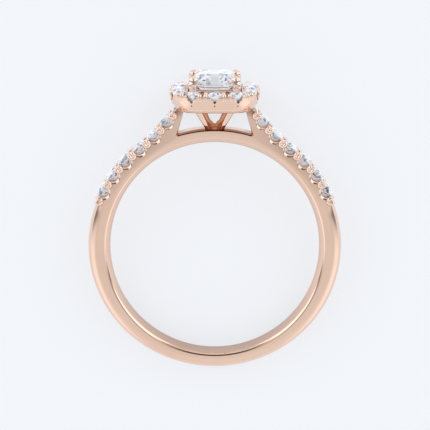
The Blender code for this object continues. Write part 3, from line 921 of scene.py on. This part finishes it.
diamondFinish = {
    # painted reflections: the bright and dark colours of the inner facets and the calm colour in the large stone's
    # middle, all of which glow
    "color": (0.86, 0.89, 0.94, 1),
    "paintedDarkReflection": (0.10, 0.13, 0.19, 1),
    "paintedReflectionSpan": (0.12, 0.5),
    "paintedCalmLight": (0.72, 0.75, 0.80, 1),
    "calmWidth": 0.0005,  # half of the large stone's calm middle
    "calmFade": (0.6, 0.0001),  # the facets begin at this share of it, less this length
    "tilt": (0.55, 0.4),  # how much the facets tilt in the small stones and in the large one
    "inner": 0.56,  # painted glow: how strongly the stone glows, standing in for the light that comes back from inside
    "outer": 0.3,  # what the outside adds
    "ior": 2.417,
    "clear": 0.22,
    "mirror": 0.25,
    "facetScale": 4300,
    # painted highlight and shade: bright and dark lines along the large stone's height
    "stepSpan": (-0.5, 0.0),  # heights from the girdle's foot where the bands begin and end
    "stepTint": (0.93, 0.97, 1.0),
    "paintedStepBands": (
        (0.0, 1.0, 0.8), (0.26, 1.0, 0.8), (0.31, 0.22, 0.95), (0.43, 0.25, 0.95), (0.49, 1.1, 0.9), (0.68, 1.1, 0.9),
        (0.76, 0.6, 0.0),
    ),  # place, light and cover
}
floorFinish = {
    "color": (0.28, 0.29, 0.3, 1),
    "grain": (30, 2),
    "grainDark": 0.995,
    "roughness": 0.9,
    "specular": 0.1,
    "glowColor": (0.93, 0.955, 1.0, 1),
    "glow": 0.70,
}


def newMaterial(name):
    material = bpy.data.materials.new(name)
    material.use_nodes = True
    return material, material.node_tree, material.node_tree.nodes["Principled BSDF"]


# give a node's sockets their values and links
def feed(tree, node, sockets):
    for name, value in sockets.items():
        if isinstance(value, bpy.types.NodeSocket):
            tree.links.new(value, node.inputs[name])
        else:
            node.inputs[name].default_value = value


def addNode(tree, kind, sockets, **settings):
    node = tree.nodes.new("ShaderNode" + kind)
    for name, value in settings.items():
        setattr(node, name, value)
    feed(tree, node, sockets)
    return node


def addPlace(tree, source="Object"):
    return addNode(tree, "TexCoord", {}).outputs[source]


def addVectorMath(tree, operation, *values):
    output = "Value" if operation == "DOT_PRODUCT" else "Vector"
    return addNode(tree, "VectorMath", dict(enumerate(values)), operation=operation).outputs[output]


def addNoise(tree, place, scale, detail):
    return addNode(tree, "TexNoise", {"Vector": place, "Scale": scale, "Detail": detail}).outputs["Fac"]


def addScale(tree, vector, scale):
    return addNode(tree, "VectorMath", {0: vector, "Scale": scale}, operation="SCALE").outputs["Vector"]


def addRange(tree, value, span, target=(0, 1), **settings):
    sockets = {"Value": value, "From Min": span[0], "From Max": span[1], "To Min": target[0], "To Max": target[1]}
    return addNode(tree, "MapRange", sockets, **settings).outputs["Result"]


def addMix(tree, share, first, second):
    return addNode(tree, "Mix", {"Factor": share, "A": first, "B": second}, data_type="RGBA").outputs["Result"]


# the stops are places and colours
def addRamp(tree, share, stops):
    ramp = addNode(tree, "ValToRGB", {"Fac": share})
    elements = ramp.color_ramp.elements
    while len(elements) < len(stops):
        elements.new(0.5)
    for element, (position, color) in zip(elements, stops):
        element.position = position
        element.color = color
    return ramp.outputs


# from 0 to 1 between two heights of the standing ring, counted from the level
def addRise(tree, place, level, heights):
    height = addVectorMath(tree, "DOT_PRODUCT", place, ringUp)
    return addRange(tree, height, [level + value * ringPose["unit"] for value in heights])


# polished rose gold: faint patches of colour, a fine haze, and painted shade in the crevices, warm and dark
def makeGold(name):
    look = goldLooks[name]
    material, tree, shader = newMaterial(name)
    place = addPlace(tree)
    patches = addNoise(tree, place, *goldFinish["patches"])
    haze = addNoise(tree, place, *goldFinish["haze"])
    tone = addRamp(tree, patches, list(zip(goldFinish["patchSpan"], (look["deepColor"], look["color"]))))["Color"]
    # painted shade in the lower bore fades to the plain gold between two heights
    if "shadeFadeHeights" in look:
        share = addRise(tree, place, lying.translation.dot(ringUp), look["shadeFadeHeights"])
        tone = addMix(tree, share, tone, goldLooks["polishedRoseGold"]["color"])
    # painted shade: the colour darkens where ambient occlusion finds the surface closed in
    paintedCreviceShade = {"Distance": goldFinish["paintedShadeReach"]}
    openness = addNode(tree, "AmbientOcclusion", paintedCreviceShade, samples=goldFinish["paintedShadeSamples"]).outputs["AO"]
    color = addMix(tree, addRange(tree, openness, look["paintedCreviceShade"]), goldFinish["paintedCreviceShadeColor"], tone)
    strength, height = goldFinish["bump"]
    bump = addNode(tree, "Bump", {"Strength": strength, "Distance": height, "Height": haze}).outputs["Normal"]
    feed(tree, shader, {
        "Base Color": color, "Metallic": 1, "Specular Tint": look["edge"],
        "Roughness": addRange(tree, haze, (0, 1), look["roughness"]), "Normal": bump,
    })
    return material


# diamond: partly clear, partly mirror-bright, and glowing with painted light: small inner facets of painted bright
# and dark reflections that are calmer in its middle
def makeDiamond(name, facetTilt, calmWidth=0.0, girdle=None):
    material, tree, shader = newMaterial(name)
    place = addPlace(tree)
    facets = addNode(tree, "TexVoronoi", {"Vector": place, "Scale": diamondFinish["facetScale"]}).outputs["Color"]
    side = addNode(tree, "SeparateXYZ", {0: place}).outputs["X"]
    across = addNode(tree, "Math", {0: side}, operation="ABSOLUTE").outputs["Value"]
    share, fade = diamondFinish["calmFade"]
    lively = addRange(tree, across, (calmWidth * share - fade, calmWidth))
    push = addScale(tree, addVectorMath(tree, "SUBTRACT", facets, (0.5, 0.5, 0.5)), lively)
    surface = addNode(tree, "NewGeometry", {}).outputs["Normal"]
    tilted = addVectorMath(tree, "MULTIPLY_ADD", push, (facetTilt,) * 3, surface)
    stops = zip(diamondFinish["paintedReflectionSpan"], (diamondFinish["paintedDarkReflection"], diamondFinish["color"]))
    tone = addRamp(tree, facets, list(stops))["Color"]
    color = addMix(tree, lively, diamondFinish["paintedCalmLight"], tone)
    if girdle is not None:
        color = paintedGirdleLines(tree, place, color, girdle)
    # the stone glows with its painted colours: painted light
    feed(tree, shader, {
        "Base Color": addScale(tree, color, diamondFinish["outer"]), "Metallic": diamondFinish["mirror"],
        "Roughness": 0, "IOR": diamondFinish["ior"], "Transmission Weight": diamondFinish["clear"],
        "Normal": addVectorMath(tree, "NORMALIZE", tilted),
        "Emission Color": color, "Emission Strength": diamondFinish["inner"],
    })
    return material


# painted highlight and shade on the first step of the back: a bright line, a dark line that is painted shade and also
# the grey of a frosted girdle, and a light foot below
def paintedGirdleLines(tree, place, color, girdle):
    stops = []
    for position, light, cover in diamondFinish["paintedStepBands"]:
        stops.append((position, [tint * light for tint in diamondFinish["stepTint"]] + [cover]))
    bands = addRamp(tree, addRise(tree, place, girdle, diamondFinish["stepSpan"]), stops)
    return addMix(tree, bands["Alpha"], color, bands["Color"])


# lay the metal piece down, smooth it, and put it in the frame
def finishMetal(piece, gold, smoothAngle=38):
    applyPlace(piece, lying)
    bpy.ops.object.shade_smooth_by_angle(angle=math.radians(smoothAngle))
    even = piece.modifiers.new("evenShading", "WEIGHTED_NORMAL")
    even.keep_sharp = True
    bpy.ops.object.modifier_apply(modifier=even.name)
    if not piece.data.materials:
        piece.data.materials.append(gold)
    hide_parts("ring_body")
    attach(piece, "root")
    print("made", piece.name, "with", len(piece.data.polygons), "faces")


def finishStone(stone, material, name):
    stone.data.materials.clear()
    stone.data.materials.append(material)
    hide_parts(name)
    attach(stone, "root")


# give another finish to the faces that the test picks by their middle and normal, as the ring stands
def coatFaces(piece, finish, test):
    materials = piece.data.materials
    if materials.find(finish.name) < 0:
        materials.append(finish)
    index = materials.find(finish.name)
    standing = lying.inverted()
    turn = standing.to_3x3()
    for polygon in piece.data.polygons:
        if test(standing @ polygon.center, (turn @ polygon.normal).normalized()):
            polygon.material_index = index


def insideBasket(centre, normal):
    inwards = -basket["insideFacing"] * centre.xy.length
    return centre.z < basket["insideTop"] and centre.xy.dot(normal.xy) < inwards


def insideBore(centre, normal):
    thick, facing = band["boreShadeLayer"]
    across = Vector((centre.x, centre.z))
    return across.length < band["bore"] + thick and across.dot((normal.x, normal.z)) < -facing * across.length


# put the ring together
line = shoulderLine()
distances = stoneDistances(line)
gold, litRaisedGold, shadedInnerGold, shadedBoreGold, shadedWallGold = [makeGold(name) for name in goldLooks]
smallTilt, largeTilt = diamondFinish["tilt"]
diamond = makeDiamond("clearDiamond", smallTilt)
girdleHeight = (lying @ Vector((0, 0, centreStone["girdleHeight"]))).dot(ringUp)
largeDiamond = makeDiamond("largeDiamond", largeTilt, diamondFinish["calmWidth"], girdleHeight)

bandPiece = makeBand()
bandPiece.data.materials.append(gold)
print("band drawn")
cutWith(bandPiece, makeGalleryCutter(gold, shadedWallGold))
for cutter in makeShoulderCutters():
    cutWith(bandPiece, cutter)
finishMetal(bandPiece, gold, band["smoothAngle"])
# painted shade on the faces of the bore
coatFaces(bandPiece, shadedBoreGold, insideBore)

# the paler copy is painted light on the raised parts
finishMetal(makePairProngs(), litRaisedGold)

galleryPiece = makeGallery()
for cutter in makeHaloCutters():
    cutWith(galleryPiece, cutter)
finishMetal(galleryPiece, gold)
finishMetal(makeHaloBeads(), litRaisedGold)
basketPiece = makeBasket(litRaisedGold, shadedInnerGold)
finishMetal(basketPiece, litRaisedGold)
# painted shade on the low faces of the basket that turn inwards
coatFaces(basketPiece, shadedInnerGold, insideBasket)

finishStone(applyPlace(makeCentreStone(), lying), largeDiamond, "centre_stone")
for stone, name in makeHaloStones():
    finishStone(stone, diamond, name)
print("stones made")

for name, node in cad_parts.items():
    if "shoulder_stone" in name:
        for slot in node.material_slots:
            slot.material = diamond
print("small stones finished")


# floor, light and camera
studio = {
    "floorSize": 3.0,
    # heights on the sky from -1 straight down to 1 straight up, here and in the rows below
    "ground": ((-1.0, 0.86), (-0.4, 0.87), (-0.18, 0.80), (-0.08, 0.66), (0.04, 0.24), (0.16, 0.06)),
    "groundSides": (0.3, 0.7, 0.34),  # from, to, and how much brighter
    "sideBox": (0.08, 0.22, 0.08, 0.24, 1.45),  # across from, to, up from, to, and light
    "widen": (0.25, 0.5, 0.3),  # up from, to, and how much further out the sides start there
    "topBox": (0.9, 0.97, 0.9),
    "frontBox": (0.66, 0.72, 0.88, 0.94, 0.9),  # up from, to, gone from, to, and light
}
view = {
    "rise": 10.5,  # degrees above the line through the finger hole
    "distance": 0.4075,
    "lens": 418.6,
    "lift": 2.416,  # millimetres above the hole's centre, and to its right
    "shift": 0.02,
    "sensor": 36,
    "clip": (0.01, 50),
}


def makeFloor():
    bpy.ops.mesh.primitive_plane_add(size=studio["floorSize"])
    floor = startPiece("floor")
    material, tree, shader = newMaterial("paleTable")
    grain = addNoise(tree, addPlace(tree), *floorFinish["grain"])
    low = [floorFinish["grainDark"] * value for value in floorFinish["color"][:3]] + [1]
    feed(tree, shader, {
        "Base Color": addRamp(tree, grain, ((0, low), (1, floorFinish["color"])))["Color"],
        "Roughness": floorFinish["roughness"], "Specular IOR Level": floorFinish["specular"],
        "Emission Color": floorFinish["glowColor"], "Emission Strength": floorFinish["glow"],
    })
    floor.data.materials.append(material)


# light ground below the ring, a dark strip in front of it, a soft box on each side and one overhead
def makeSky():
    world = bpy.data.worlds.new("studio")
    bpy.context.scene.world = world
    world.use_nodes = True
    tree = world.node_tree
    place = addPlace(tree, "Generated")

    def reckon(operation, *values):
        return addNode(tree, "Math", dict(enumerate(values)), operation=operation).outputs["Value"]

    def between(value, low, high, light=1.0):
        return addRange(tree, value, (low, high), (0, light), interpolation_type="SMOOTHSTEP")

    up = addVectorMath(tree, "DOT_PRODUCT", place, ringUp)
    across = reckon("ABSOLUTE", addVectorMath(tree, "DOT_PRODUCT", place, (1, 0, 0)))
    stops = [((height + 1) / 2, (light, light, light, 1)) for height, light in studio["ground"]]
    ground = addRamp(tree, reckon("MULTIPLY_ADD", up, 0.5, 0.5), stops)["Color"]
    ground = reckon("MULTIPLY", ground, reckon("ADD", between(across, *studio["groundSides"]), 1.0))
    low, high, foot, head, light = studio["sideBox"]
    inward = reckon("SUBTRACT", across, between(up, *studio["widen"]))
    sides = reckon("MULTIPLY", between(inward, low, high), between(up, foot, head, light))
    above = between(up, *studio["topBox"])
    foot, high, low, head, light = studio["frontBox"]
    front = reckon("MULTIPLY", between(up, foot, high, light), reckon("SUBTRACT", 1.0, between(up, low, head)))
    total = reckon("ADD", ground, reckon("MAXIMUM", reckon("MAXIMUM", sides, above), front))
    feed(tree, tree.nodes["Background"], {"Color": total, "Strength": 1})


def makeCamera():
    rise = math.radians(view["rise"])
    turn = lying.to_3x3()
    toCamera = (turn @ Vector((0, -math.cos(rise), math.sin(rise)))).normalized()
    up = (turn @ Vector((0, math.sin(rise), math.cos(rise)))).normalized()
    lift, shift = view["lift"] * ringPose["unit"], view["shift"] * ringPose["unit"]
    target = lying.translation + up * lift + Vector((shift, 0, 0))
    data = bpy.data.cameras.new("camera")
    camera = bpy.data.objects.new("camera", data)
    bpy.context.collection.objects.link(camera)
    pose = Matrix((up.cross(toCamera), up, toCamera)).transposed().to_4x4()
    pose.translation = target + toCamera * view["distance"]
    camera.matrix_world = pose
    data.lens = view["lens"]
    data.sensor_width = view["sensor"]
    data.clip_start, data.clip_end = view["clip"]
    bpy.context.scene.camera = camera


makeFloor()
makeSky()
makeCamera()
scene = bpy.context.scene
scene.view_settings.view_transform = "Standard"
scene.cycles.max_bounces = 24
scene.cycles.transmission_bounces = 16
scene.cycles.glossy_bounces = 16
print("studio ready")
